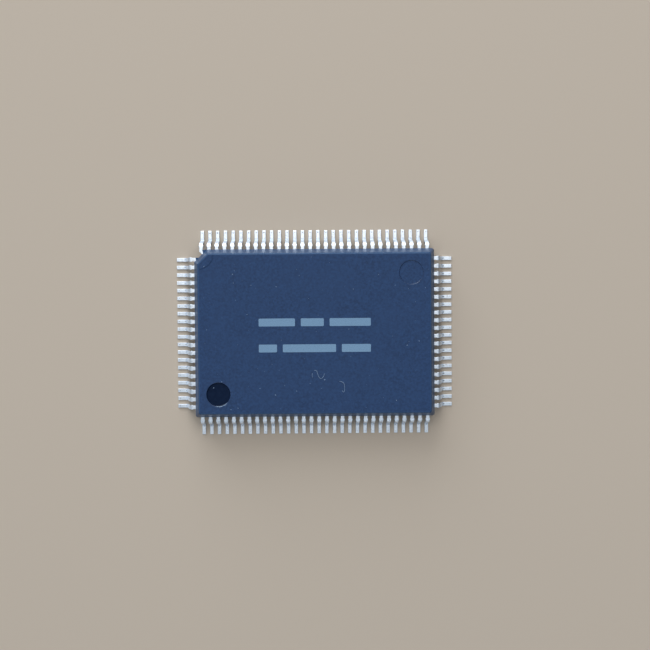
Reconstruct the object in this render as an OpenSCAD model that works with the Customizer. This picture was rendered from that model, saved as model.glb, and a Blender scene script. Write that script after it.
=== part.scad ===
// Quad flat package: an integrated circuit moulded in a dark blue resin body, with gull-wing
// leads on all four sides. Millimetres. X runs along the long sides and Y along the short
// ones. The seating plane under the feet is Z = 0, with the origin below the body's middle.

/* [Moulded body] */
// Length of the body at the parting line
body_l = 20; // [17:0.5:28]
// Width of the body at the parting line
body_w = 14; // [12:0.5:20]
// Thickness of the body
body_t = 2.7; // [2.4:0.1:3.4]
// Height of the underside above the seating plane
standoff = 0.1; // [0.05:0.05:0.4]
// Draft of the side walls, in degrees from upright
draft = 16; // [5:1:18]
// Radius of the three plain upright corners
corner_r = 0.2; // [0.1:0.05:0.4]
// Radius of the top and bottom edges
edge_r = 0.14; // [0.04:0.02:0.2]
// Resin above and below the leads in the upright band at the parting line
band_margin = 0.02; // [0.01:0.01:0.06]
// Leg of the chamfer on the corner where the mould was filled
gate_chamfer = 1.05; // [0.7:0.05:1.3]
// Radius of the raised round pad on the top face at that corner
gate_pad_r = 1.35; // [1.2:0.05:1.8]
// Height of that pad above the face
gate_pad_h = 0.03; // [0.01:0.01:0.06]
// Distance of that pad from the rounded edges
gate_pad_margin = 0.03; // [0.02:0.01:0.08]

/* [Round marks on the faces] */
// Diameter of the index dimple and of the ejector marks, at the face
mark_d = 2; // [1:0.1:2.4]
// Distance of each mark's centre from the two body sides beside it
mark_inset = 2; // [1.8:0.1:3.5]
// Slope of the marks' walls, in degrees from upright
mark_slope = 30; // [10:5:45]
// Depth of the polished index dimple, beside the first lead
index_depth = 0.12; // [0.06:0.02:0.3]
// Depth of the ejector marks
ejector_depth = 0.05; // [0.02:0.01:0.12]

/* [Leads outside the body] */
// Distance from lead to lead
pitch = 0.65; // [0.5:0.05:1]
// Least distance from a body corner to the middle of the first lead
corner_clear = 0.55; // [0.5:0.05:1]
// Width of a lead
lead_w = 0.3; // [0.22:0.02:0.36]
// Thickness of the lead frame sheet
lead_t = 0.15; // [0.1:0.01:0.2]
// Distance from the body's side to the toe of the foot
lead_reach = 1.6; // [1.5:0.05:2.4]
// Length of the flat foot
foot_l = 0.7; // [0.5:0.05:0.8]
// Length of the flat shoulder
shoulder_l = 0.3; // [0.24:0.02:0.38]
// Inside radius of the knee and the heel
bend_r = 0.15; // [0.1:0.01:0.2]
// Width across the stubs where the dam bar was cut away
dambar_w = 0.37; // [0.37:0.01:0.46]
// Length of those stubs along the lead
dambar_l = 0.12; // [0.08:0.02:0.24]
// Distance from the body's side to the stubs
dambar_gap = 0.24; // [0.18:0.02:0.3]
// Length of the slope at each end of a stub
dambar_slope = 0.1; // [0.03:0.01:0.12]

/* [Lead frame inside the body] */
// Straight root of a lead inside the body
root_l = 0.15; // [0.1:0.05:0.25]
// Depth over which the first and last lead of a row run in at 45 degrees
splay_l = 0.3; // [0.2:0.05:0.4]
// Length of a lead's straight tip
tip_l = 0.4; // [0.3:0.05:0.6]
// Width of a lead's tip
tip_w = 0.17; // [0.1:0.01:0.18]
// Gap between the tips and the die pad
tip_gap = 0.3; // [0.2:0.05:0.5]
// Distance from the die pad's corner to the middle of the nearest tip, along the row
tip_corner = 0.3; // [0.2:0.05:0.5]
// Depth of the die pad below the leads
downset = 0.2; // [0.15:0.05:0.3]
// Length of the slope in each tie bar that carries the die pad down
downset_run = 0.4; // [0.3:0.05:0.8]
// Width of the tie bars
tie_w = 0.2; // [0.12:0.02:0.24]

/* [Chip and wires] */
// Length of the silicon die
die_l = 7.6; // [5:0.2:9]
// Width of the silicon die
die_w = 5.2; // [4:0.2:6]
// Thickness of the silicon die
die_t = 0.35; // [0.2:0.05:0.45]
// Rim of die pad around the die
pad_rim = 0.6; // [0.4:0.05:0.9]
// Thickness of the adhesive under the die
glue_t = 0.03; // [0.02:0.01:0.06]
// Adhesive squeezed out around the die
glue_rim = 0.06; // [0.02:0.02:0.2]
// Diameter of the gold wire
wire_d = 0.038; // [0.03:0.002:0.05]
// Rise of the wire's arc above the line between its ends
wire_rise = 0.22; // [0.15:0.01:0.35]
// Diameter of the bonds at the wire's ends
bond_d = 0.1; // [0.08:0.01:0.12]
// Height of those bonds
bond_t = 0.03; // [0.02:0.005:0.05]
// Distance of the bonds from the die's edge and from the lead's tip
bond_inset = 0.12; // [0.08:0.01:0.18]
// Distance from the die's corner to the nearest bond, along the row
bond_corner = 0.25; // [0.15:0.05:0.5]

/* [Hidden] */
$fn = 48;
bend_steps = 6;
edge_steps = 5;
corner_steps = 4;
root2 = sqrt(2);
// How far a cut runs on past the face that it opens
over = 1;

top_z = standoff + body_t;
lead_z = standoff + body_t / 2;
pad_z = lead_z - downset;
pad_top = pad_z + lead_t / 2;
die_z = pad_top + glue_t;
die_top = die_z + die_t;
lead_top = lead_z + lead_t / 2;

band_h = lead_t + 2 * band_margin;
wall_h = (body_t - band_h) / 2;
face_inset = wall_h * tan(draft);
flat_inset = face_inset + edge_r * tan(45 - draft / 2);
gate_line = body_l / 2 + body_w / 2 - gate_chamfer;

pad_l = die_l + 2 * pad_rim;
pad_w = die_w + 2 * pad_rim;
bend_mid_r = bend_r + lead_t / 2;

function leads_on(side_l) = floor((side_l - 2 * corner_clear) / pitch) + 1;
long_n = leads_on(body_l);
short_n = leads_on(body_w);
long_half = (long_n - 1) * pitch / 2;
short_half = (short_n - 1) * pitch / 2;

// Sides in the order of the pins, counter-clockwise from the index dimple.
FRONT = 0;
RIGHT = 1;
BACK = 2;
LEFT = 3;
SIDES = [FRONT, RIGHT, BACK, LEFT];
turn_to = [180, -90, 0, 90];

function is_long(side) = side == FRONT || side == BACK;
function row_n(side) = is_long(side) ? long_n : short_n;
function row_half(side) = is_long(side) ? long_half : short_half;
function body_edge(side) = (is_long(side) ? body_w : body_l) / 2;
function pad_edge(side) = (is_long(side) ? pad_w : pad_l) / 2;
function pad_half(side) = (is_long(side) ? pad_l : pad_w) / 2;
function die_edge(side) = (is_long(side) ? die_w : die_l) / 2;
function die_half(side) = (is_long(side) ? die_l : die_w) / 2;
function tip_half(side) = pad_half(side) - tip_corner;
function row_place(side, i) = (i - (row_n(side) - 1) / 2) * pitch;

// Points on an arc, from angle a to angle b.
function arc(centre, r, a, b, steps) =
    [for (i = [0:steps]) centre + r * [cos(a + (b - a) * i / steps), sin(a + (b - a) * i / steps)]];

// A solid through rings of points that all have the same count, from the lowest to the highest.
module loft(rings) {
    n = len(rings[0]);
    last = len(rings) - 1;
    polyhedron(
        points = [for (ring = rings) each ring],
        faces = [
            [for (i = [0:n - 1]) i],
            for (k = [0:last - 1], i = [0:n - 1])
                [k * n + i, (k + 1) * n + i, (k + 1) * n + (i + 1) % n, k * n + (i + 1) % n],
            [for (i = [n - 1:-1:0]) last * n + i]
        ]
    );
}

// Turns what is drawn for the back side, with its row along X, to another side.
module on_side(side) {
    rotate([0, 0, turn_to[side]]) children();
}

// Outline of the body with its walls moved in by inset: three round corners and the gate chamfer.
function body_outline(inset) =
    let (x = body_l / 2 - inset, y = body_w / 2 - inset, r = corner_r, line = gate_line - inset * root2)
    concat(
        arc([x - r, y - r], r, 0, 90, corner_steps),
        [[y - line, y], [-x, line - x]],
        arc([r - x, r - y], r, 180, 270, corner_steps),
        arc([x - r, r - y], r, 270, 360, corner_steps)
    );

// Heights above the parting band and insets of the rings that round a wall over into its flat face.
function wall_rings() =
    [for (i = [edge_steps:-1:0]) let (a = (90 - draft) * i / edge_steps)
        [wall_h - edge_r * (1 - cos(a)), flat_inset - edge_r * sin(a)]];

module body_envelope() {
    upper = concat([[0, 0]], wall_rings());
    levels = concat(
        [for (i = [len(upper) - 1:-1:0]) [lead_z - band_h / 2 - upper[i][0], upper[i][1]]],
        [for (level = upper) [lead_z + band_h / 2 + level[0], level[1]]]
    );
    loft([for (level = levels) [for (p = body_outline(level[1])) [p[0], p[1], level[0]]]]);
}

// A shallow round recess with a sloping wall, sunk into the top face or into the underside at one
// corner.
module round_mark(sx, sy, depth, underside = false) {
    floor_d = mark_d - 2 * depth * tan(mark_slope);
    face_z = underside ? standoff : top_z;
    translate([sx * (body_l / 2 - mark_inset), sy * (body_w / 2 - mark_inset), face_z])
        mirror([0, 0, underside ? 0 : 1]) {
            cylinder(d1 = mark_d, d2 = floor_d, h = depth);
            translate([0, 0, -over]) cylinder(d = mark_d, h = over);
        }
}

// The round pad about the gate corner, a little proud of the rest of the top face.
module gate_pad() {
    translate([0, 0, top_z - edge_r])
        intersection() {
            linear_extrude(edge_r + gate_pad_h) polygon(body_outline(flat_inset + gate_pad_margin));
            translate([face_inset - body_l / 2, body_w / 2 - face_inset, -over])
                cylinder(r = gate_pad_r, h = 2 * over);
        }
}

// Stations along a lead from toe to tip: distance out from the body's side, the share of the
// row's own spacing that is left there, and the width.
function lead_stations(side) =
    let (half = row_half(side), depth = body_edge(side) - pad_edge(side) - tip_gap,
        stub_end = dambar_gap + dambar_l, tip_share = tip_half(side) / half)
    [
        [lead_reach, 1, lead_w],
        [stub_end + dambar_slope, 1, lead_w],
        [stub_end, 1, dambar_w],
        [dambar_gap, 1, dambar_w],
        [dambar_gap - dambar_slope, 1, lead_w],
        [-root_l, 1, lead_w],
        [-root_l - splay_l, 1 - splay_l / half, lead_w],
        [tip_l - depth, tip_share, tip_w],
        [-depth, tip_share, tip_w]
    ];

// The stamped outlines of one side's leads, flat, with the row along X.
module lead_outlines(side) {
    stations = lead_stations(side);
    last = len(stations) - 1;
    for (i = [0:row_n(side) - 1]) {
        x = row_place(side, i);
        polygon(concat(
            [for (s = stations) [x * s[1] + s[2] / 2, body_edge(side) + s[0]]],
            [for (k = [last:-1:0]) let (s = stations[k]) [x * s[1] - s[2] / 2, body_edge(side) + s[0]]]
        ));
    }
}

// The formed sheet seen end on: flat inside the body and over the shoulder, down the leg between
// two equal bends, and flat again along the foot.
module formed_sheet(side) {
    knee = [shoulder_l, lead_z - bend_mid_r];
    heel = [lead_reach - foot_l, lead_t / 2 + bend_mid_r];
    span = heel - knee;
    fall = atan2(-span[1], span[0]) + asin(2 * bend_mid_r / norm(span));
    outer_r = bend_r + lead_t;
    profile = concat(
        [[-body_edge(side), lead_top]],
        arc(knee, outer_r, 90, 90 - fall, bend_steps),
        arc(heel, bend_r, 270 - fall, 270, bend_steps),
        [[lead_reach + over, lead_t], [lead_reach + over, 0]],
        arc(heel, outer_r, 270, 270 - fall, bend_steps),
        arc(knee, bend_r, 90 - fall, 90, bend_steps),
        [[-body_edge(side), lead_top - lead_t]]
    );
    translate([0, body_edge(side), 0])
        rotate([90, 0, 90])
            linear_extrude(body_l + body_w, center = true)
                polygon(profile);
}

// One side's leads: the stamped outlines carried by the formed sheet.
module leads(side) {
    color("gainsboro")
        on_side(side)
            intersection() {
                formed_sheet(side);
                translate([0, 0, -over]) linear_extrude(top_z + over) lead_outlines(side);
            }
}

// The room that one side's leads take up in the resin.
module lead_slots(side) {
    on_side(side)
        translate([0, 0, lead_z - lead_t / 2]) linear_extrude(lead_t) lead_outlines(side);
}

// A tie bar from the die pad's corner up to the level of the leads, and out between the last
// lead of a long side and the first lead of a short one.
module tie_bar() {
    start = [pad_l / 2, pad_w / 2];
    between = [long_half + body_l / 2 - root_l, short_half + body_w / 2 - root_l] / 2;
    run = between - start;
    tail = tie_w;
    line = [[-tail, pad_z], [tie_w, pad_z], [tie_w + downset_run, lead_z], [norm(run) + over, lead_z]];
    translate([start[0], start[1], 0])
        rotate([90, 0, atan2(run[1], run[0])])
            linear_extrude(tie_w, center = true)
                polygon(concat(
                    [for (p = line) p + [0, lead_t / 2]],
                    [for (k = [len(line) - 1:-1:0]) line[k] - [0, lead_t / 2]]
                ));
}

module die_pad() {
    color("lightgray") {
        translate([-pad_l / 2, -pad_w / 2, pad_z - lead_t / 2]) cube([pad_l, pad_w, lead_t]);
        intersection() {
            body_envelope();
            for (mx = [0, 1], my = [0, 1])
                mirror([mx, 0, 0]) mirror([0, my, 0]) tie_bar();
        }
    }
}

module die_attach() {
    color("darkgray")
        translate([-die_l / 2 - glue_rim, -die_w / 2 - glue_rim, pad_top])
            cube([die_l + 2 * glue_rim, die_w + 2 * glue_rim, glue_t]);
}

module silicon_die() {
    color("slategray")
        translate([-die_l / 2, -die_w / 2, die_z]) cube([die_l, die_w, die_t]);
}

// A gold wire in one arc between two bonds, from the die's top at a to a lead's top at b.
module bond_wire(a, b) {
    span = b - a;
    ground = norm([span[0], span[1]]);
    chord = norm(span);
    r = (chord * chord / 4 + wire_rise * wire_rise) / (2 * wire_rise);
    half_angle = asin(chord / (2 * r));
    for (end = [a, b])
        translate(end - [0, 0, bond_t / 2]) cylinder(d = bond_d, h = bond_t);
    translate(a)
        rotate([90, 0, atan2(span[1], span[0])])
            rotate(atan2(span[2], ground))
                translate([chord / 2, wire_rise - r])
                    rotate(90 - half_angle)
                        rotate_extrude(angle = 2 * half_angle)
                            translate([r, 0]) circle(d = wire_d);
}

// One side's wires, each from a bond near the die's edge to the tip of its lead.
module bond_wires(side) {
    die_y = die_edge(side) - bond_inset;
    lead_y = pad_edge(side) + tip_gap + bond_inset;
    half = row_half(side);
    color("gold")
        on_side(side)
            for (i = [0:row_n(side) - 1]) {
                share = row_place(side, i) / half;
                bond_wire(
                    [share * (die_half(side) - bond_corner), die_y, die_top + bond_t / 2],
                    [share * tip_half(side), lead_y, lead_top + bond_t / 2]
                );
            }
}

// The moulded resin body, filled round everything that it holds.
module package_body() {
    color("#2f466d")
        difference() {
            union() {
                body_envelope();
                gate_pad();
            }
            round_mark(-1, -1, index_depth);
            round_mark(1, 1, ejector_depth);
            round_mark(-1, 1, ejector_depth, underside = true);
            round_mark(1, -1, ejector_depth, underside = true);
            for (side = SIDES) lead_slots(side);
            for (side = SIDES) bond_wires(side);
            die_pad();
            die_attach();
            silicon_die();
        }
}

package_body();
leads(FRONT);  // leads_front
leads(RIGHT);  // leads_right
leads(BACK);  // leads_back
leads(LEFT);  // leads_left
die_pad();
die_attach();
silicon_die();
bond_wires(FRONT);  // bond_wires_front
bond_wires(RIGHT);  // bond_wires_right
bond_wires(BACK);  // bond_wires_back
bond_wires(LEFT);  // bond_wires_left
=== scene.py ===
"""Looks of a quad flat package: its moulded resin body, plated leads, print and dust."""

import math
import random
from collections import namedtuple

import bmesh
import bpy
import numpy as np
from mathutils import Euler, Matrix, Vector


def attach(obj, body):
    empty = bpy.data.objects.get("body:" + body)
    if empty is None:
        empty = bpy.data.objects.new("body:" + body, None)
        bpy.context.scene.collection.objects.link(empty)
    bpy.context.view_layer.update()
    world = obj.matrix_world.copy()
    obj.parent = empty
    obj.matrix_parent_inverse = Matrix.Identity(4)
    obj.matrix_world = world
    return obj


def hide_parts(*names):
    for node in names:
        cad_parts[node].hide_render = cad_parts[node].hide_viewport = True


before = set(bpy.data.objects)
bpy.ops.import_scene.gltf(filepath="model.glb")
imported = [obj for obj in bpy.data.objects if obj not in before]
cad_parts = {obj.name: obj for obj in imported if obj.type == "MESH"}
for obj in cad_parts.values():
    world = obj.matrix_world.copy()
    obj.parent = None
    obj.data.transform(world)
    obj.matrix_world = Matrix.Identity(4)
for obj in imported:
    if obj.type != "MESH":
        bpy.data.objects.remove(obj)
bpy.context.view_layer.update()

MM = 0.001
ROOT = "root"
SEED = 7

# Sizes of the solids, in millimetres and radians.
BODY_L = 20.0
BODY_W = 14.0
BODY_T = 2.7
STANDOFF = 0.1
DRAFT = math.radians(16)
CORNER_R = 0.2
EDGE_R = 0.14
BAND_MARGIN = 0.02
GATE_CHAMFER = 1.05
GATE_PAD_R = 1.35
GATE_PAD_H = 0.03
GATE_PAD_MARGIN = 0.03
MARK_R = 1.0
MARK_INSET = 2.0
MARK_SLOPE = math.radians(30)
INDEX_DEPTH = 0.12
EJECTOR_DEPTH = 0.05
LONG_COUNT = 30
SHORT_COUNT = 20
PITCH = 0.65
LEAD_W = 0.3
LEAD_T = 0.15
LEAD_REACH = 1.6
FOOT_L = 0.7
SHOULDER_L = 0.3
BEND_R = 0.15
DAMBAR_W = 0.37
DAMBAR_L = 0.12
DAMBAR_GAP = 0.24
ROOT_L = 0.15
SPLAY_L = 0.3
TIP_L = 0.4
TIP_W = 0.17
TIP_GAP = 0.3
TIP_CORNER = 0.3
PAD_L = 8.8
PAD_W = 6.4

TOP_Z = STANDOFF + BODY_T
LEAD_Z = STANDOFF + BODY_T / 2
BAND_H = LEAD_T + 2 * BAND_MARGIN
WALL_H = (BODY_T - BAND_H) / 2
FACE_INSET = WALL_H * math.tan(DRAFT)
FLAT_INSET = FACE_INSET + EDGE_R * math.tan(math.pi / 4 - DRAFT / 2)
GATE_LINE = BODY_L / 2 + BODY_W / 2 - GATE_CHAMFER
BEND_MID_R = BEND_R + LEAD_T / 2
MARK_X = BODY_L / 2 - MARK_INSET
MARK_Y = BODY_W / 2 - MARK_INSET

# A row of leads: how many, and where the body's side and the die pad's edge and corner lie.
Row = namedtuple("Row", "count body_edge pad_edge pad_half")
LONG_ROW = Row(LONG_COUNT, BODY_W / 2, PAD_W / 2, PAD_L / 2)
SHORT_ROW = Row(SHORT_COUNT, BODY_L / 2, PAD_L / 2, PAD_W / 2)

# Finer shape than the solids have, in millimetres: rounded edges, and stubs sheared nearly square.
CHAMFER_EDGE_R = 0.07
INDEX_RIM_R = 0.05
EJECTOR_RIM_R = 0.03
LEAD_EDGE_R = 0.02
TOE_R = 0.02
STUB_SLOPE = 0.04
PAD_SLOPE_W = 0.07
LEAN_SPREAD = 0.006

# Two flakes of resin beside the gate corner, a little thinner than the band that they grow from.
BACK_WEB = [(-8.9, 6.99), (-9.34, 6.99), (-9.26, 6.74), (-9.2, 6.5), (-8.9, 6.5)]
LEFT_WEB = [(-9.6, 6.33), (-9.88, 6.33), (-9.86, 6.04), (-9.6, 6.04)]
WEB_MARGIN = 0.003

# Narrow strips beside rounded edges and bends, which keep the shading of the flats even.
EDGE_STRIP = 0.004
TOE_STRIP = 0.008
HEEL_STRIP = 0.02

# Facets of round forms.
CORNER_STEPS = 8
EDGE_STEPS = 8
RIM_STEPS = 6
MARK_STEPS = 96
BEND_STEPS = 9
LEAD_EDGE_STEPS = 3
BAR_CORNER_STEPS = 5
LINT_SIDES = 8
LINT_STEPS = 6

# Print: the middle of each row and the lengths of its bars, in millimetres.
PRINT_ROWS = [(0.934, [3.0, 1.9, 3.4]), (-1.214, [1.5, 4.4, 2.4])]
PRINT_LEFT = -4.63
BAR_H = 0.65
BAR_GAP = 0.48
BAR_CORNER_R = 0.08
INK_T = 0.004

# Fibres of lint on the top face, in millimetres.
LINT_R = 0.017
LINT_HEIGHT = LINT_R * 0.8
LINT_END_TAPER = 0.35
LINT_STRANDS = [
    [(-0.22, -3.30), (-0.24, -3.47), (-0.21, -3.64)],
    [
        (-0.07, -3.03), (0.13, -3.10), (0.22, -3.37), (0.34, -3.64),
        (0.51, -3.72), (0.69, -3.58), (0.79, -3.30),
    ],
    [(2.00, -3.96), (2.26, -4.04), (2.41, -4.23), (2.43, -4.74), (2.33, -4.86), (2.22, -4.71)],
]

# Grains of dust, in millimetres: scattered ones, and the larger ones by place and size. A grain is
# stretched and lumpy within these shares of its size, and stands proud by its lift.
DUST_COUNT = 90
DUST_EDGE_GAP = 0.2
DUST_MARK_GAP = 0.15
DUST_GATE_GAP = 2.0
DUST_SIZE = 0.012
DUST_SIZE_SPREAD = 0.03
DUST_STRETCH = [(0.7, 1.5), (0.7, 1.2), (0.4, 0.7)]
DUST_LUMPS = (0.8, 1.15)
DUST_LIFT = 0.3
DUST_PLACED = [
    (-8.39, -4.45, TOP_Z - INDEX_DEPTH, 0.05),
    (-7.72, -3.95, TOP_Z, 0.04),
    (-7.40, -5.93, TOP_Z, 0.04),
    (-9.09, 5.58, TOP_Z + GATE_PAD_H, 0.05),
    (0.79, -3.83, TOP_Z, 0.05),
    (-3.28, -5.07, TOP_Z, 0.05),
]

# Places of the resin's finishes in the body's materials.
MATT = 0
SATIN = 1
POLISHED = 2
RIM = 3

# Place of the bare alloy in the leads' materials.
BARE = 1

# The least upright normal of a face that counts as flat.
FLAT_NORMAL_Z = 0.998

# Stage, in metres and degrees. The floor ends at the back before the window lamp, and the camera was
# fitted to the tips of the leads and the body's edges.
FLOOR_SIZE = 4.0
FLOOR_BACK = 0.35
FLOOR_COLOUR = (0.54, 0.445, 0.355)
SKY_COLOUR = (0.77, 0.885, 1.0)
SKY_BRIGHT_SIDE = (-0.3, 0.28, 0.25)
SKY_SPAN = (-0.35, 0.3)
SKY_STRENGTH = (0.1, 0.53)
DAYLIGHT = (0.82, 0.91, 1.0)
CAMERA_PLACE = (-0.0001637, 0.0047167, 0.108022)
CAMERA_TURN = (-2.1845, -0.5652, -0.3869)
CAMERA_LENS_MM = 70.65
CAMERA_SENSOR_MM = 36.0
CAMERA_NEAREST = 0.005


# Meshes


def add_piece(name, mesh):
    """Links a mesh in millimetres as a piece in metres that rides on the part's body."""
    mesh.transform(Matrix.Scale(MM, 4))
    piece = bpy.data.objects.new(name, mesh)
    bpy.context.scene.collection.objects.link(piece)
    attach(piece, ROOT)
    return piece


def smooth(piece, sharp_deg):
    """Smooth shading that keeps sharp edges sharp, and faces of many corners, which are flat, flat."""
    mesh = piece.data
    mesh.shade_smooth()
    mesh.set_sharp_from_angle(angle=math.radians(sharp_deg))
    for face in mesh.polygons:
        face.use_smooth = len(face.vertices) <= 4
    weighted = piece.modifiers.new("flat_faces", "WEIGHTED_NORMAL")
    weighted.keep_sharp = True
    weighted.weight = 100


def mesh_of(name, points, faces):
    mesh = bpy.data.meshes.new(name)
    mesh.from_pydata(points, [], faces)
    mesh.update()
    return mesh


def loft(rings):
    """Points and faces of a closed solid through rings of points of equal count."""
    n = len(rings[0])
    points = [p for ring in rings for p in ring]
    faces = [tuple(reversed(range(n)))]
    for k in range(len(rings) - 1):
        for i in range(n):
            j = (i + 1) % n
            faces.append((k * n + i, k * n + j, (k + 1) * n + j, (k + 1) * n + i))
    faces.append(tuple(range((len(rings) - 1) * n, len(rings) * n)))
    return points, faces


def prism(outline, low, high):
    """Points and faces of a solid with one outline from one height to another."""
    return loft([[(x, y, z) for x, y in outline] for z in (low, high)])


def join(solids):
    """Points and faces of several solids as one."""
    points = []
    faces = []
    for solid_points, solid_faces in solids:
        base = len(points)
        points += solid_points
        faces += [tuple(base + i for i in face) for face in solid_faces]
    return points, faces


def rounded_outline(corners, radii, steps):
    """Points round a convex outline, counter-clockwise, each corner turned on its own radius."""
    points = []
    count = len(corners)
    for i, corner in enumerate(corners):
        here = Vector(corner)
        back = (Vector(corners[i - 1]) - here).normalized()
        ahead = (Vector(corners[(i + 1) % count]) - here).normalized()
        half = back.angle(ahead) / 2
        centre = here + (back + ahead).normalized() * radii[i] / math.sin(half)
        first = here + back * radii[i] / math.tan(half) - centre
        start = math.atan2(first.y, first.x)
        turn = math.pi - 2 * half
        for k in range(steps + 1):
            a = start + turn * k / steps
            points.append((centre.x + radii[i] * math.cos(a), centre.y + radii[i] * math.sin(a)))
    return points


def loose_solid(mesh):
    """A mesh as an object that booleans can work on, still in millimetres."""
    solid = bpy.data.objects.new(mesh.name, mesh)
    bpy.context.scene.collection.objects.link(solid)
    return solid


def combine(piece, tool_mesh, operation):
    """Combines a piece with a solid, and keeps the result as the piece's own mesh."""
    tool = loose_solid(tool_mesh)
    boolean = piece.modifiers.new("combine", "BOOLEAN")
    boolean.operation = operation
    boolean.solver = "EXACT"
    boolean.object = tool
    graph = bpy.context.evaluated_depsgraph_get()
    result = bpy.data.meshes.new_from_object(piece.evaluated_get(graph))
    piece.modifiers.remove(boolean)
    old = piece.data
    piece.data = result
    bpy.data.meshes.remove(old)
    bpy.data.objects.remove(tool)
    bpy.data.meshes.remove(tool_mesh)


# Moulded body


def body_outline(inset):
    x = BODY_L / 2 - inset
    y = BODY_W / 2 - inset
    line = GATE_LINE - inset * math.sqrt(2)
    corners = [(x, y), (y - line, y), (-x, line - x), (-x, -y), (x, -y)]
    radii = [CORNER_R, CHAMFER_EDGE_R, CHAMFER_EDGE_R, CORNER_R, CORNER_R]
    return rounded_outline(corners, radii, CORNER_STEPS)


def body_levels():
    """Heights and insets of the body's rings, from the underside to the top."""
    upper = [(0.0, 0.0)]
    for i in range(EDGE_STEPS, -1, -1):
        a = (math.pi / 2 - DRAFT) * i / EDGE_STEPS
        upper.append((WALL_H - EDGE_R * (1 - math.cos(a)), FLAT_INSET - EDGE_R * math.sin(a)))
    lower = [(LEAD_Z - BAND_H / 2 - h, inset) for h, inset in reversed(upper)]
    return lower + [(LEAD_Z + BAND_H / 2 + h, inset) for h, inset in upper]


def lathe(profile, place, flip=1):
    """A solid turned from (radius, height) points about an upright axis, with flat ends."""
    rings = []
    for r, z in profile:
        ring = []
        for i in range(MARK_STEPS):
            a = 2 * math.pi * i / MARK_STEPS
            ring.append((place[0] + r * math.cos(a), place[1] + r * math.sin(a), place[2] + flip * z))
        rings.append(ring)
    mesh = mesh_of("turned", *loft(rings))
    if flip < 0:
        mesh.flip_normals()
    return mesh


def mark_profile(depth, rim):
    """Half section of what a round mark takes away: floor, sloping wall, rounded rim and a flare above."""
    tangent = rim / math.tan((math.pi / 2 + MARK_SLOPE) / 2)
    floor_r = MARK_R - depth * math.tan(MARK_SLOPE)
    fillet = min(rim, depth) * 0.4
    profile = [
        (floor_r - fillet, -depth),
        (floor_r + fillet * math.sin(MARK_SLOPE), -depth + fillet * math.cos(MARK_SLOPE)),
    ]
    for k in range(RIM_STEPS):
        a = math.pi - MARK_SLOPE - (math.pi / 2 - MARK_SLOPE) * k / RIM_STEPS
        profile.append((MARK_R + tangent + rim * math.cos(a), -rim + rim * math.sin(a)))
    before, last = profile[-2:]
    rise = (last[1] - before[1]) / (last[0] - before[0])
    above = 0.2
    profile.append((last[0] + (above - last[1]) / rise, above))
    return profile


def gate_pad():
    """The round pad about the gate corner, a little proud of the top face."""
    outline = body_outline(FLAT_INSET + GATE_PAD_MARGIN)
    pad = loose_solid(mesh_of("pad", *prism(outline, TOP_Z - EDGE_R, TOP_Z + GATE_PAD_H)))
    below = 1.0
    past_top = 1.5
    profile = [
        (GATE_PAD_R, -below),
        (GATE_PAD_R, 0),
        (GATE_PAD_R - PAD_SLOPE_W * past_top, GATE_PAD_H * past_top),
    ]
    corner = (FACE_INSET - BODY_L / 2, BODY_W / 2 - FACE_INSET, TOP_Z)
    combine(pad, lathe(profile, corner), "INTERSECT")
    mesh = pad.data
    bpy.data.objects.remove(pad)
    return mesh


def web(corners):
    """A flake of resin at the level of the leads."""
    half = BAND_H / 2 - WEB_MARGIN
    return mesh_of("web", *prism(corners, LEAD_Z - half, LEAD_Z + half))


def finish_of(face):
    """Place of a face's finish in the body's materials."""
    x, y, z = face.center
    is_top = z > LEAD_Z
    depth = TOP_Z - z if is_top else z - STANDOFF
    is_flat = abs(face.normal.z) > FLAT_NORMAL_Z
    if is_flat and depth < EJECTOR_DEPTH / 2:
        return MATT
    rounding = 0.001
    has_mark = (x * y > 0) == is_top
    off_mark = math.hypot(abs(x) - MARK_X, abs(y) - MARK_Y)
    if has_mark and depth < INDEX_DEPTH + rounding and off_mark < MARK_R + INDEX_RIM_R:
        if is_top and x < 0:
            rim_drop = INDEX_RIM_R * (1 - math.sin(MARK_SLOPE))
            return POLISHED if depth > rim_drop else RIM
        return MATT if is_flat else RIM
    is_proud = depth < 0
    return MATT if is_proud else SATIN


def make_body(finishes):
    """The body with its index dimple, three ejector marks, gate pad and flash."""
    rings = [[(x, y, z) for x, y in body_outline(inset)] for z, inset in body_levels()]
    blank = loose_solid(mesh_of("package", *loft(rings)))
    index = mark_profile(INDEX_DEPTH, INDEX_RIM_R)
    ejector = mark_profile(EJECTOR_DEPTH, EJECTOR_RIM_R)
    combine(blank, lathe(index, (-MARK_X, -MARK_Y, TOP_Z)), "DIFFERENCE")
    combine(blank, lathe(ejector, (MARK_X, MARK_Y, TOP_Z)), "DIFFERENCE")
    combine(blank, lathe(ejector, (-MARK_X, MARK_Y, STANDOFF), flip=-1), "DIFFERENCE")
    combine(blank, lathe(ejector, (MARK_X, -MARK_Y, STANDOFF), flip=-1), "DIFFERENCE")
    combine(blank, gate_pad(), "UNION")
    combine(blank, web(BACK_WEB), "UNION")
    combine(blank, web(LEFT_WEB), "UNION")
    mesh = blank.data
    bpy.data.objects.remove(blank)
    mesh.materials.clear()
    for material in finishes:
        mesh.materials.append(material)
    for face in mesh.polygons:
        face.material_index = finish_of(face)
    package = add_piece("package", mesh)
    smooth(package, sharp_deg=40)
    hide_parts("package_body")


# Leads


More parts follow.
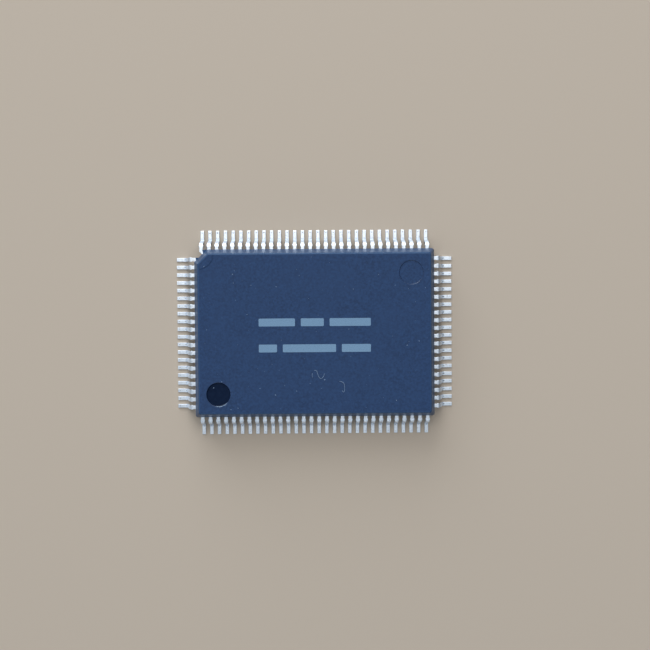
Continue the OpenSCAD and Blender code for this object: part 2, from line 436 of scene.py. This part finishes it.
def section(width, thickness, edge):
    """Points round a lead's cross-section, as offsets across the lead and through the sheet."""
    x = width / 2
    y = thickness / 2
    inner_x = x - edge - EDGE_STRIP
    inner_y = y - edge - EDGE_STRIP
    n = LEAD_EDGE_STEPS + 1
    arcs = rounded_outline([(x, y), (-x, y), (-x, -y), (x, -y)], [edge] * 4, LEAD_EDGE_STEPS)
    points = [(x, inner_y), *arcs[:n], (inner_x, y)]
    points += [(-inner_x, y), *arcs[n:2 * n], (-x, inner_y)]
    points += [(-x, -inner_y), *arcs[2 * n:3 * n], (-inner_x, -y)]
    points += [(inner_x, -y), *arcs[3 * n:], (x, -inner_y)]
    return points


def lead_stations(row):
    """Distance out from the body's side, share of the row's own spacing, and width, from toe to tip."""
    row_half = (row.count - 1) * PITCH / 2
    depth = row.body_edge - row.pad_edge - TIP_GAP
    stub_end = DAMBAR_GAP + DAMBAR_L
    tip_share = (row.pad_half - TIP_CORNER) / row_half
    return [
        (LEAD_REACH, 1, LEAD_W),
        (stub_end + STUB_SLOPE, 1, LEAD_W),
        (stub_end, 1, DAMBAR_W),
        (DAMBAR_GAP, 1, DAMBAR_W),
        (DAMBAR_GAP - STUB_SLOPE, 1, LEAD_W),
        (-ROOT_L, 1, LEAD_W),
        (-ROOT_L - SPLAY_L, 1 - SPLAY_L / row_half, LEAD_W),
        (TIP_L - depth, tip_share, TIP_W),
        (-depth, tip_share, TIP_W),
    ]


def station_at(stations, s):
    """Share of the row's spacing, and width, at a distance out from the body's side."""
    outs, shares, widths = zip(*reversed(stations))
    return float(np.interp(s, outs, shares)), float(np.interp(s, outs, widths))


def lead_path(stations):
    """Middle line of a formed lead from toe to tip: distance out, height, and the sheet's fall angle."""
    knee = Vector((SHOULDER_L, LEAD_Z - BEND_MID_R))
    heel = Vector((LEAD_REACH - FOOT_L, LEAD_T / 2 + BEND_MID_R))
    span = heel - knee
    fall = math.atan2(-span.y, span.x) + math.asin(2 * BEND_MID_R / span.length)
    toe = LEAD_REACH - TOE_R
    foot = [LEAD_REACH, toe, toe - TOE_STRIP, LEAD_REACH - FOOT_L + HEEL_STRIP]
    path = [(s, LEAD_T / 2, 0.0) for s in foot]
    for k in range(BEND_STEPS + 1):
        a = fall * k / BEND_STEPS
        path.append((heel.x - BEND_MID_R * math.sin(a), heel.y - BEND_MID_R * math.cos(a), a))
    turns = {fall * k / BEND_STEPS for k in range(1, BEND_STEPS + 1)}
    for s, _, _ in stations:
        if SHOULDER_L < s < SHOULDER_L + BEND_MID_R * math.sin(fall):
            turns.add(math.asin((s - SHOULDER_L) / BEND_MID_R))
    for a in sorted(turns, reverse=True):
        path.append((knee.x + BEND_MID_R * math.sin(a), knee.y + BEND_MID_R * math.cos(a), a))
    path.append((SHOULDER_L, LEAD_Z, 0.0))
    path += [(s, LEAD_Z, 0.0) for s, _, _ in stations if s < SHOULDER_L]
    return path


def make_leads(side, turn_deg, row, plating, alloy, rng):
    """One side's leads, drawn for the back side with the row along X and turned to their side."""
    stations = lead_stations(row)
    path = lead_path(stations)
    leads = []
    out = []
    off = []
    for i in range(row.count):
        place = (i - (row.count - 1) / 2) * PITCH
        lean = rng.gauss(0, LEAN_SPREAD)
        rings = []
        for k, (s, z, fall) in enumerate(path):
            share, width = station_at(stations, s)
            outline = section(width, LEAD_T, LEAD_EDGE_R)
            if k == 0:
                outline = section(width - 2 * TOE_R, LEAD_T - 2 * TOE_R, LEAD_EDGE_R / 2)
            outside = min(max((s - SHOULDER_L) / (LEAD_REACH - SHOULDER_L), 0.0), 1.0)
            middle = place * share + lean * outside
            ring = []
            for across, through in outline:
                y = row.body_edge + s + through * math.sin(fall)
                ring.append((middle + across, y, z + through * math.cos(fall)))
                out.append(s)
                off.append(across)
            rings.append(ring)
        leads.append(loft(rings))
    mesh = mesh_of("plated_" + side, *join(leads))
    mesh.materials.append(plating)
    mesh.materials.append(alloy)
    # The first face of each lead is the end of its toe, which was cut after plating.
    faces_each = len(mesh.polygons) // row.count
    for i in range(row.count):
        mesh.polygons[i * faces_each].material_index = BARE
    for name, values in (("out_mm", out), ("off_mm", off)):
        mesh.attributes.new(name, "FLOAT", "POINT").data.foreach_set("value", values)
    mesh.transform(Matrix.Rotation(math.radians(turn_deg), 4, "Z"))
    piece = add_piece("plated_" + side, mesh)
    smooth(piece, sharp_deg=45)
    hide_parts(side)


# Print and dust on the top face


def make_print(ink):
    """Two rows of plain bars in thin ink."""
    bars = []
    for middle_y, lengths in PRINT_ROWS:
        low = middle_y - BAR_H / 2
        high = middle_y + BAR_H / 2
        x = PRINT_LEFT
        for length in lengths:
            corners = [(x + length, high), (x, high), (x, low), (x + length, low)]
            outline = rounded_outline(corners, [BAR_CORNER_R] * 4, BAR_CORNER_STEPS)
            bars.append(prism(outline, TOP_Z - INK_T, TOP_Z + INK_T))
            x += length + BAR_GAP
    mesh = mesh_of("print_bars", *join(bars))
    mesh.materials.append(ink)
    add_piece("print_bars", mesh)


def tube(path):
    """Points and faces of a fibre of lint along a path of points, tapered to both ends."""
    rings = []
    count = len(path)
    for i, here in enumerate(path):
        ahead = path[min(i + 1, count - 1)] - path[max(i - 1, 0)]
        across = Vector((0, 0, 1)).cross(ahead).normalized()
        up = ahead.normalized().cross(across)
        taper = LINT_END_TAPER if i in (0, count - 1) else 1.0
        ring = []
        for k in range(LINT_SIDES):
            a = -2 * math.pi * k / LINT_SIDES
            ring.append(tuple(here + (across * math.cos(a) + up * math.sin(a)) * LINT_R * taper))
        rings.append(ring)
    return loft(rings)


def curve_through(knots):
    """Points on a smooth curve through the given knots."""
    path = []
    for i in range(len(knots) - 1):
        before = knots[max(i - 1, 0)]
        a = knots[i]
        b = knots[i + 1]
        after = knots[min(i + 2, len(knots) - 1)]
        for k in range(LINT_STEPS):
            t = k / LINT_STEPS
            path.append(0.5 * (
                2 * a + (b - before) * t + (2 * before - 5 * a + 4 * b - after) * t * t
                + (3 * a - before - 3 * b + after) * t * t * t
            ))
    path.append(knots[-1])
    return path


def make_lint(fibre):
    """Short fibres lying on the top face below the print."""
    fibres = []
    for strand in LINT_STRANDS:
        knots = [Vector((x, y, TOP_Z + LINT_HEIGHT)) for x, y in strand]
        fibres.append(tube(curve_through(knots)))
    mesh = mesh_of("lint", *join(fibres))
    mesh.materials.append(fibre)
    piece = add_piece("lint", mesh)
    smooth(piece, sharp_deg=60)


def grain_of_dust(x, y, z, size, rng):
    """Points and faces of a lumpy grain, a little sunk in the surface at a place."""
    ball = bmesh.new()
    bmesh.ops.create_icosphere(ball, subdivisions=1, radius=1.0)
    stretch = Vector([rng.uniform(*span) for span in DUST_STRETCH])
    spin = Matrix.Rotation(rng.uniform(0, math.tau), 3, "Z")
    points = []
    for vertex in ball.verts:
        lump = spin @ (vertex.co * rng.uniform(*DUST_LUMPS) * stretch) * size
        points.append((x + lump.x, y + lump.y, z + size * DUST_LIFT + lump.z))
    faces = [tuple(vertex.index for vertex in face.verts) for face in ball.faces]
    ball.free()
    return points, faces


def make_dust(fibre, rng):
    """Grains scattered on the top face, clear of its marks and gate corner, and the larger ones."""
    places = []
    half_x = BODY_L / 2 - FACE_INSET - DUST_EDGE_GAP
    half_y = BODY_W / 2 - FACE_INSET - DUST_EDGE_GAP
    while len(places) < DUST_COUNT:
        x = rng.uniform(-half_x, half_x)
        y = rng.uniform(-half_y, half_y)
        near_mark = math.hypot(abs(x) - MARK_X, abs(y) - MARK_Y) < MARK_R + DUST_MARK_GAP
        near_gate = y - x >= GATE_LINE - DUST_GATE_GAP
        if not near_mark and not near_gate:
            places.append((x, y, TOP_Z, DUST_SIZE + DUST_SIZE_SPREAD * rng.random() ** 3))
    places += DUST_PLACED
    mesh = mesh_of("dust", *join([grain_of_dust(*place, rng) for place in places]))
    mesh.materials.append(fibre)
    add_piece("dust", mesh)


# Materials


class Look:
    """A material with its nodes, built up one node at a time."""

    # Places of the colour sockets of a Mix node.
    MIX_A = 6
    MIX_B = 7
    MIX_RESULT = 2

    def __init__(self, name, metallic=0.0, roughness=0.5, specular=0.5, tint=(1.0, 1.0, 1.0)):
        self.material = bpy.data.materials.new(name)
        self.material.use_nodes = True
        self.nodes = self.material.node_tree.nodes
        self.links = self.material.node_tree.links
        self.shader = self.nodes["Principled BSDF"]
        self.feed(self.shader.inputs["Metallic"], metallic)
        self.feed(self.shader.inputs["Roughness"], roughness)
        self.feed(self.shader.inputs["Specular IOR Level"], specular)
        self.feed(self.shader.inputs["Specular Tint"], tint)
        self.place = self.nodes.new("ShaderNodeTexCoord").outputs["Object"]

    def feed(self, target, value):
        """Links a node's output to a socket, or sets a number or colour on it."""
        if isinstance(value, bpy.types.NodeSocket):
            self.links.new(value, target)
        elif target.type == "RGBA":
            target.default_value = (*value, 1.0)
        else:
            target.default_value = value

    def colour(self, value):
        self.feed(self.shader.inputs["Base Color"], value)

    def roughness(self, value):
        self.feed(self.shader.inputs["Roughness"], value)

    def bump(self, height, depth_mm, strength):
        node = self.nodes.new("ShaderNodeBump")
        self.feed(node.inputs["Strength"], strength)
        self.feed(node.inputs["Distance"], depth_mm * MM)
        self.feed(node.inputs["Height"], height)
        self.feed(self.shader.inputs["Normal"], node.outputs["Normal"])

    def noise(self, size_mm, detail, stretch=None):
        """Noise of a given grain size, drawn out along an axis where its stretch is under 1."""
        node = self.nodes.new("ShaderNodeTexNoise")
        place = self.place
        if stretch:
            mapping = self.nodes.new("ShaderNodeMapping")
            self.feed(mapping.inputs["Vector"], place)
            self.feed(mapping.inputs["Scale"], stretch)
            place = mapping.outputs["Vector"]
        self.feed(node.inputs["Vector"], place)
        self.feed(node.inputs["Scale"], 1 / (size_mm * MM))
        self.feed(node.inputs["Detail"], detail)
        return node.outputs["Fac"]

    def attribute(self, name):
        node = self.nodes.new("ShaderNodeAttribute")
        node.attribute_name = name
        return node.outputs["Fac"]

    def remap(self, value, low, high, to_low=0.0, to_high=1.0):
        """A value's range from low to high, clamped and carried over to another range."""
        node = self.nodes.new("ShaderNodeMapRange")
        node.clamp = True
        self.feed(node.inputs["Value"], value)
        self.feed(node.inputs["From Min"], low)
        self.feed(node.inputs["From Max"], high)
        self.feed(node.inputs["To Min"], to_low)
        self.feed(node.inputs["To Max"], to_high)
        return node.outputs["Result"]

    def maths(self, operation, a, b):
        node = self.nodes.new("ShaderNodeMath")
        node.operation = operation
        self.feed(node.inputs[0], a)
        self.feed(node.inputs[1], b)
        return node.outputs["Value"]

    def times(self, a, b):
        return self.maths("MULTIPLY", a, b)

    def mix(self, share, a, b):
        node = self.nodes.new("ShaderNodeMix")
        node.data_type = "RGBA"
        self.feed(node.inputs["Factor"], share)
        self.feed(node.inputs[self.MIX_A], a)
        self.feed(node.inputs[self.MIX_B], b)
        return node.outputs[self.MIX_RESULT]

    def shade(self, value, low, high, dark, light):
        """A dark colour where a value is low, turning to a light one where it is high."""
        return self.mix(self.remap(value, low, high), dark, light)

    def specks(self, cell_mm, size, share):
        """1 on sparse round specks, 0 between them."""
        node = self.nodes.new("ShaderNodeTexVoronoi")
        self.feed(node.inputs["Vector"], self.place)
        self.feed(node.inputs["Scale"], 1 / (cell_mm * MM))
        split = self.nodes.new("ShaderNodeSeparateColor")
        self.feed(split.inputs["Color"], node.outputs["Color"])
        near = self.remap(node.outputs["Distance"], size / 2, size, to_low=1.0, to_high=0.0)
        chosen = self.maths("LESS_THAN", split.outputs["Red"], share)
        return self.times(near, chosen)

    def spot(self, out, off, middle, half_l, half_w):
        """1 in the middle of a ragged oval on a lead, 0 outside it."""
        along = self.maths("DIVIDE", self.maths("SUBTRACT", out, middle), half_l)
        across = self.maths("DIVIDE", off, half_w)
        reach = self.maths("ADD", self.times(along, along), self.times(across, across))
        raggedness = self.remap(self.noise(0.06, detail=2.0), 0.3, 0.7, to_low=-0.5, to_high=0.5)
        return self.remap(self.maths("ADD", reach, raggedness), 0.2, 1.0, to_low=1.0, to_high=0.0)

    def facing(self, centre, degrees):
        """1 where a point lies from a centre on the top face in one direction, down to -1 opposite."""
        a = math.radians(degrees)
        steps = [
            ("SUBTRACT", (centre[0] * MM, centre[1] * MM, 0)),
            ("MULTIPLY", (1, 1, 0)),
            ("NORMALIZE", None),
            ("DOT_PRODUCT", (math.cos(a), math.sin(a), 0)),
        ]
        value = self.place
        for operation, operand in steps:
            node = self.nodes.new("ShaderNodeVectorMath")
            node.operation = operation
            self.feed(node.inputs[0], value)
            if operand:
                self.feed(node.inputs[1], operand)
            value = node.outputs["Value" if operation == "DOT_PRODUCT" else "Vector"]
        return value


def face_resin():
    """Moulded resin as spark-eroded flat faces leave it: matt, grained and a little cloudy."""
    dark = (0.0120, 0.0332, 0.0895)
    light = (0.0242, 0.0592, 0.1471)
    haze = (0.0210, 0.0513, 0.1287)
    speck = (0.10, 0.16, 0.27)
    look = Look("resin_matt", specular=0.25)
    grain = look.noise(0.16, detail=4.0)
    cloud = look.noise(3.0, detail=2.0)
    tone = look.shade(grain, 0.32, 0.68, dark, light)
    tone = look.mix(look.remap(cloud, 0.4, 0.6, to_low=0.0, to_high=0.3), tone, haze)
    tone = look.mix(look.times(look.specks(0.55, size=0.07, share=0.3), 0.5), tone, speck)
    look.colour(tone)
    look.roughness(look.remap(grain, 0.3, 0.7, to_low=0.55, to_high=0.7))
    look.bump(grain, depth_mm=0.004, strength=0.5)
    return look.material


def wall_resin():
    """The same resin on the drafted walls, smoother where it slid from the mould, and painted lighter than
    the face to stand in for the light the walls catch.
    """
    # Painted light: these tones are lighter than the face's resin.
    dark = (0.0240, 0.0560, 0.1290)
    light = (0.0325, 0.0735, 0.1600)
    look = Look("resin_satin", specular=0.4, tint=(0.66, 0.83, 1.0))
    grain = look.noise(0.1, detail=3.0)
    streak = look.noise(0.5, detail=2.0, stretch=(1.0, 1.0, 0.15))
    look.colour(look.shade(grain, 0.35, 0.65, dark, light))
    look.roughness(look.remap(streak, 0.35, 0.65, to_low=0.38, to_high=0.46))
    look.bump(grain, depth_mm=0.003, strength=0.4)
    return look.material


def rim_resin():
    """Smooth resin on the rims of the round marks, with a pale highlight painted on the index dimple's
    front rim, which slopes towards the lamps.
    """
    dark = (0.0060, 0.0230, 0.0720)
    light = (0.0100, 0.0330, 0.0930)
    painted_highlight_colour = (0.34, 0.44, 0.58)
    look = Look("resin_rim", specular=0.6)
    grain = look.noise(0.1, detail=3.0)
    # Painted highlight: a pale crescent, broken up by noise, on the front of the index dimple's rim, where
    # it slopes towards the lamps.
    front = look.remap(look.facing((-MARK_X, -MARK_Y), degrees=-75), 0.80, 0.97)
    painted_highlight_mask = look.times(front, look.remap(look.noise(0.12, detail=2.0), 0.35, 0.6))
    look.colour(look.mix(painted_highlight_mask, look.shade(grain, 0.35, 0.65, dark, light), painted_highlight_colour))
    look.roughness(look.remap(grain, 0.35, 0.65, to_low=0.25, to_high=0.35))
    look.bump(grain, depth_mm=0.002, strength=0.4)
    return look.material


def polished_resin():
    """The polished floor and wall of the index dimple."""
    dark = (0.0038, 0.0103, 0.0305)
    light = (0.0050, 0.0130, 0.0360)
    look = Look("resin_polished", specular=0.1)
    grain = look.noise(0.3, detail=2.0)
    look.colour(look.shade(grain, 0.35, 0.65, dark, light))
    look.roughness(look.remap(grain, 0.3, 0.7, to_low=0.12, to_high=0.2))
    look.bump(look.noise(0.8, detail=1.0), depth_mm=0.002, strength=0.3)
    return look.material


def tin_plate(side, toe_wear, heel_shade_strength):
    """Matt tin plate with a fine grain, a few dull stains, the forming tool's marks near the toes, and
    shade painted dark into the concave heels, row by row.
    """
    dark = (0.72, 0.77, 0.83)
    light = (0.84, 0.88, 0.93)
    stained = (0.45, 0.45, 0.46)
    mark_and_shade_colour = (0.12, 0.13, 0.17)
    look = Look("tin_plate_" + side, metallic=1.0)
    grain = look.noise(0.035, detail=3.0)
    stain = look.noise(0.28, detail=3.0)
    out = look.attribute("out_mm")
    off = look.attribute("off_mm")
    toe_mark = look.times(look.spot(out, off, middle=1.42, half_l=0.06, half_w=0.05), toe_wear)
    # Painted shade: a dark oval in each concave heel, strong or faint by row.
    painted_heel_shade = look.times(look.spot(out, off, middle=0.89, half_l=0.12, half_w=0.06), heel_shade_strength)
    unevenness = look.remap(look.noise(0.5, detail=1.0), 0.40, 0.55, to_low=0.5, to_high=1.0)
    # The toe marks and the painted heel shade share one dark colour.
    marks = look.times(look.maths("MAXIMUM", toe_mark, painted_heel_shade), unevenness)
    tone = look.shade(grain, 0.3, 0.7, dark, light)
    tone = look.mix(look.remap(stain, 0.58, 0.75, to_low=0.0, to_high=0.5), tone, stained)
    look.colour(look.mix(marks, tone, mark_and_shade_colour))
    bend = look.times(look.remap(out, 0.40, 0.52), look.remap(out, 0.85, 1.0, to_low=1.0, to_high=0.0))
    dullness = look.remap(stain, 0.3, 0.7, to_low=0.28, to_high=0.40)
    look.roughness(look.maths("ADD", dullness, look.times(bend, 0.5)))
    look.bump(grain, depth_mm=0.003, strength=0.5)
    return look.material


def bare_alloy():
    """Lead frame alloy where the sheet was cut after plating."""
    dark = (0.48, 0.44, 0.39)
    light = (0.66, 0.62, 0.56)
    look = Look("bare_alloy", metallic=1.0)
    streak = look.noise(0.03, detail=2.0, stretch=(1.0, 1.0, 0.2))
    look.colour(look.shade(streak, 0.3, 0.7, dark, light))
    look.roughness(look.remap(streak, 0.3, 0.7, to_low=0.3, to_high=0.45))
    look.bump(streak, depth_mm=0.004, strength=0.5)
    return look.material


def print_ink():
    """Thin pale ink that takes on the grain of the resin below."""
    dark = (0.140, 0.240, 0.360)
    light = (0.195, 0.310, 0.445)
    look = Look("print_ink", specular=0.25)
    grain = look.noise(0.07, detail=3.0)
    look.colour(look.shade(grain, 0.3, 0.6, dark, light))
    look.roughness(look.remap(grain, 0.3, 0.7, to_low=0.6, to_high=0.75))
    look.bump(grain, depth_mm=0.004, strength=0.5)
    return look.material


def lint_fibre():
    """Dull pale fluff, for the lint and the dust."""
    dark = (0.13, 0.20, 0.31)
    light = (0.28, 0.37, 0.50)
    look = Look("lint_fibre", specular=0.2, roughness=0.9)
    look.colour(look.shade(look.noise(0.05, detail=2.0), 0.3, 0.7, dark, light))
    return look.material


def frame_alloy():
    """Bare lead frame sheet inside the body."""
    dark = (0.60, 0.59, 0.56)
    light = (0.72, 0.71, 0.68)
    look = Look("frame_alloy", metallic=1.0)
    grain = look.noise(0.4, detail=3.0, stretch=(0.1, 1.0, 1.0))
    look.colour(look.shade(grain, 0.3, 0.7, dark, light))
    look.roughness(look.remap(grain, 0.3, 0.7, to_low=0.3, to_high=0.45))
    look.bump(grain, depth_mm=0.003, strength=0.4)
    return look.material


def silver_adhesive():
    """Grey epoxy filled with silver flakes."""
    dark = (0.34, 0.34, 0.35)
    light = (0.62, 0.62, 0.63)
    look = Look("silver_adhesive", metallic=0.4)
    flake = look.noise(0.04, detail=2.0)
    look.colour(look.shade(flake, 0.4, 0.6, dark, light))
    look.roughness(look.remap(flake, 0.3, 0.7, to_low=0.35, to_high=0.65))
    look.bump(flake, depth_mm=0.006, strength=0.6)
    return look.material


def silicon():
    """Polished silicon with the blocks of its circuit layers."""
    block_mm = 1.3
    fine_lines = (0.24, 0.27, 0.30)
    look = Look("silicon", metallic=0.6)
    blocks = look.nodes.new("ShaderNodeTexBrick")
    look.feed(blocks.inputs["Vector"], look.place)
    look.feed(blocks.inputs["Scale"], 1 / (block_mm * MM))
    look.feed(blocks.inputs["Mortar Size"], 0.02)
    look.feed(blocks.inputs["Color1"], (0.13, 0.16, 0.22))
    look.feed(blocks.inputs["Color2"], (0.20, 0.18, 0.24))
    look.feed(blocks.inputs["Mortar"], (0.30, 0.31, 0.33))
    fine = look.noise(0.06, detail=4.0)
    share = look.remap(fine, 0.3, 0.7, to_low=0.0, to_high=0.35)
    look.colour(look.mix(share, blocks.outputs["Color"], fine_lines))
    look.roughness(look.remap(fine, 0.3, 0.7, to_low=0.12, to_high=0.25))
    return look.material


def drawn_gold():
    """Bright gold wire."""
    dark = (0.78, 0.52, 0.13)
    light = (0.90, 0.65, 0.22)
    look = Look("drawn_gold", metallic=1.0)
    grain = look.noise(0.02, detail=2.0)
    look.colour(look.shade(grain, 0.3, 0.7, dark, light))
    look.roughness(look.remap(grain, 0.3, 0.7, to_low=0.18, to_high=0.3))
    return look.material


# Object


def make_pieces():
    """Everything that shows, in place of the solids of the body and the leads."""
    rng = random.Random(SEED)
    make_body([face_resin(), wall_resin(), polished_resin(), rim_resin()])
    alloy = bare_alloy()
    # Each row's heel strength sets how dark its painted heel shade is.
    make_leads("leads_front", 180, LONG_ROW, tin_plate("front", toe_wear=0.3, heel_shade_strength=0.3), alloy, rng)
    make_leads("leads_right", -90, SHORT_ROW, tin_plate("right", toe_wear=0.25, heel_shade_strength=1.0), alloy, rng)
    make_leads("leads_back", 0, LONG_ROW, tin_plate("back", toe_wear=1.0, heel_shade_strength=0.1), alloy, rng)
    make_leads("leads_left", 90, SHORT_ROW, tin_plate("left", toe_wear=0.5, heel_shade_strength=0.4), alloy, rng)
    make_print(print_ink())
    fibre = lint_fibre()
    make_lint(fibre)
    make_dust(fibre, rng)


def dress_inner_nodes():
    """Materials for the solids that the resin hides, which keep their shapes."""
    gold = drawn_gold()
    looks = {
        "die_pad": frame_alloy(),
        "die_attach": silver_adhesive(),
        "silicon_die": silicon(),
        "bond_wires_front": gold,
        "bond_wires_right": gold,
        "bond_wires_back": gold,
        "bond_wires_left": gold,
    }
    for name, material in looks.items():
        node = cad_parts[name]
        node.data.materials.clear()
        node.data.materials.append(material)


# Stage


def make_floor():
    middle = (0, FLOOR_BACK - FLOOR_SIZE / 2, 0)
    bpy.ops.mesh.primitive_grid_add(x_subdivisions=4, y_subdivisions=4, size=FLOOR_SIZE, location=middle)
    floor = bpy.context.object
    floor.name = "floor"
    look = Look("floor", specular=0.1, roughness=0.8)
    look.colour(FLOOR_COLOUR)
    floor.data.materials.append(look.material)


def make_world():
    """Soft light all round, brighter overhead and towards the back and the left."""
    world = bpy.data.worlds.new("studio")
    bpy.context.scene.world = world
    world.use_nodes = True
    nodes = world.node_tree.nodes
    links = world.node_tree.links
    direction = nodes.new("ShaderNodeTexCoord")
    towards = nodes.new("ShaderNodeVectorMath")
    towards.operation = "DOT_PRODUCT"
    towards.inputs[1].default_value = SKY_BRIGHT_SIDE
    ramp = nodes.new("ShaderNodeMapRange")
    ramp.inputs["From Min"].default_value = SKY_SPAN[0]
    ramp.inputs["From Max"].default_value = SKY_SPAN[1]
    ramp.inputs["To Min"].default_value = SKY_STRENGTH[0]
    ramp.inputs["To Max"].default_value = SKY_STRENGTH[1]
    sky = nodes["Background"]
    sky.inputs["Color"].default_value = (*SKY_COLOUR, 1)
    links.new(direction.outputs["Generated"], towards.inputs[0])
    links.new(towards.outputs["Value"], ramp.inputs["Value"])
    links.new(ramp.outputs["Result"], sky.inputs["Strength"])


def make_lamp(name, place, size, power, colour):
    """A round lamp that faces the object."""
    lamp = bpy.data.lights.new(name, "AREA")
    lamp.shape = "DISK"
    lamp.size = size
    lamp.energy = power
    lamp.color = colour
    light = bpy.data.objects.new(name, lamp)
    light.location = place
    towards = Vector((0, 0, 0)) - Vector(place)
    light.rotation_euler = towards.to_track_quat("-Z", "Y").to_euler()
    bpy.context.scene.collection.objects.link(light)


def make_lamps():
    make_lamp("key", place=(0.0, 0.15, 0.30), size=0.3, power=0.43, colour=(1.0, 0.99, 0.97))
    make_lamp("fill", place=(0.02, -0.16, 0.30), size=0.12, power=0.045, colour=(0.80, 0.90, 1.0))
    make_lamp("front", place=(0.0, -0.35, 0.11), size=0.2, power=0.10, colour=DAYLIGHT)
    make_lamp("window", place=(-0.15, 0.5, 0.18), size=0.5, power=2.7, colour=DAYLIGHT)


def make_camera():
    data = bpy.data.cameras.new("camera")
    data.lens = CAMERA_LENS_MM
    data.sensor_width = CAMERA_SENSOR_MM
    data.clip_start = CAMERA_NEAREST
    camera = bpy.data.objects.new("camera", data)
    camera.location = CAMERA_PLACE
    camera.rotation_euler = Euler([math.radians(a) for a in CAMERA_TURN], "XYZ")
    bpy.context.scene.collection.objects.link(camera)
    bpy.context.scene.camera = camera


make_pieces()
dress_inner_nodes()
make_floor()
make_world()
make_lamps()
make_camera()
bpy.context.scene.view_settings.view_transform = "Standard"
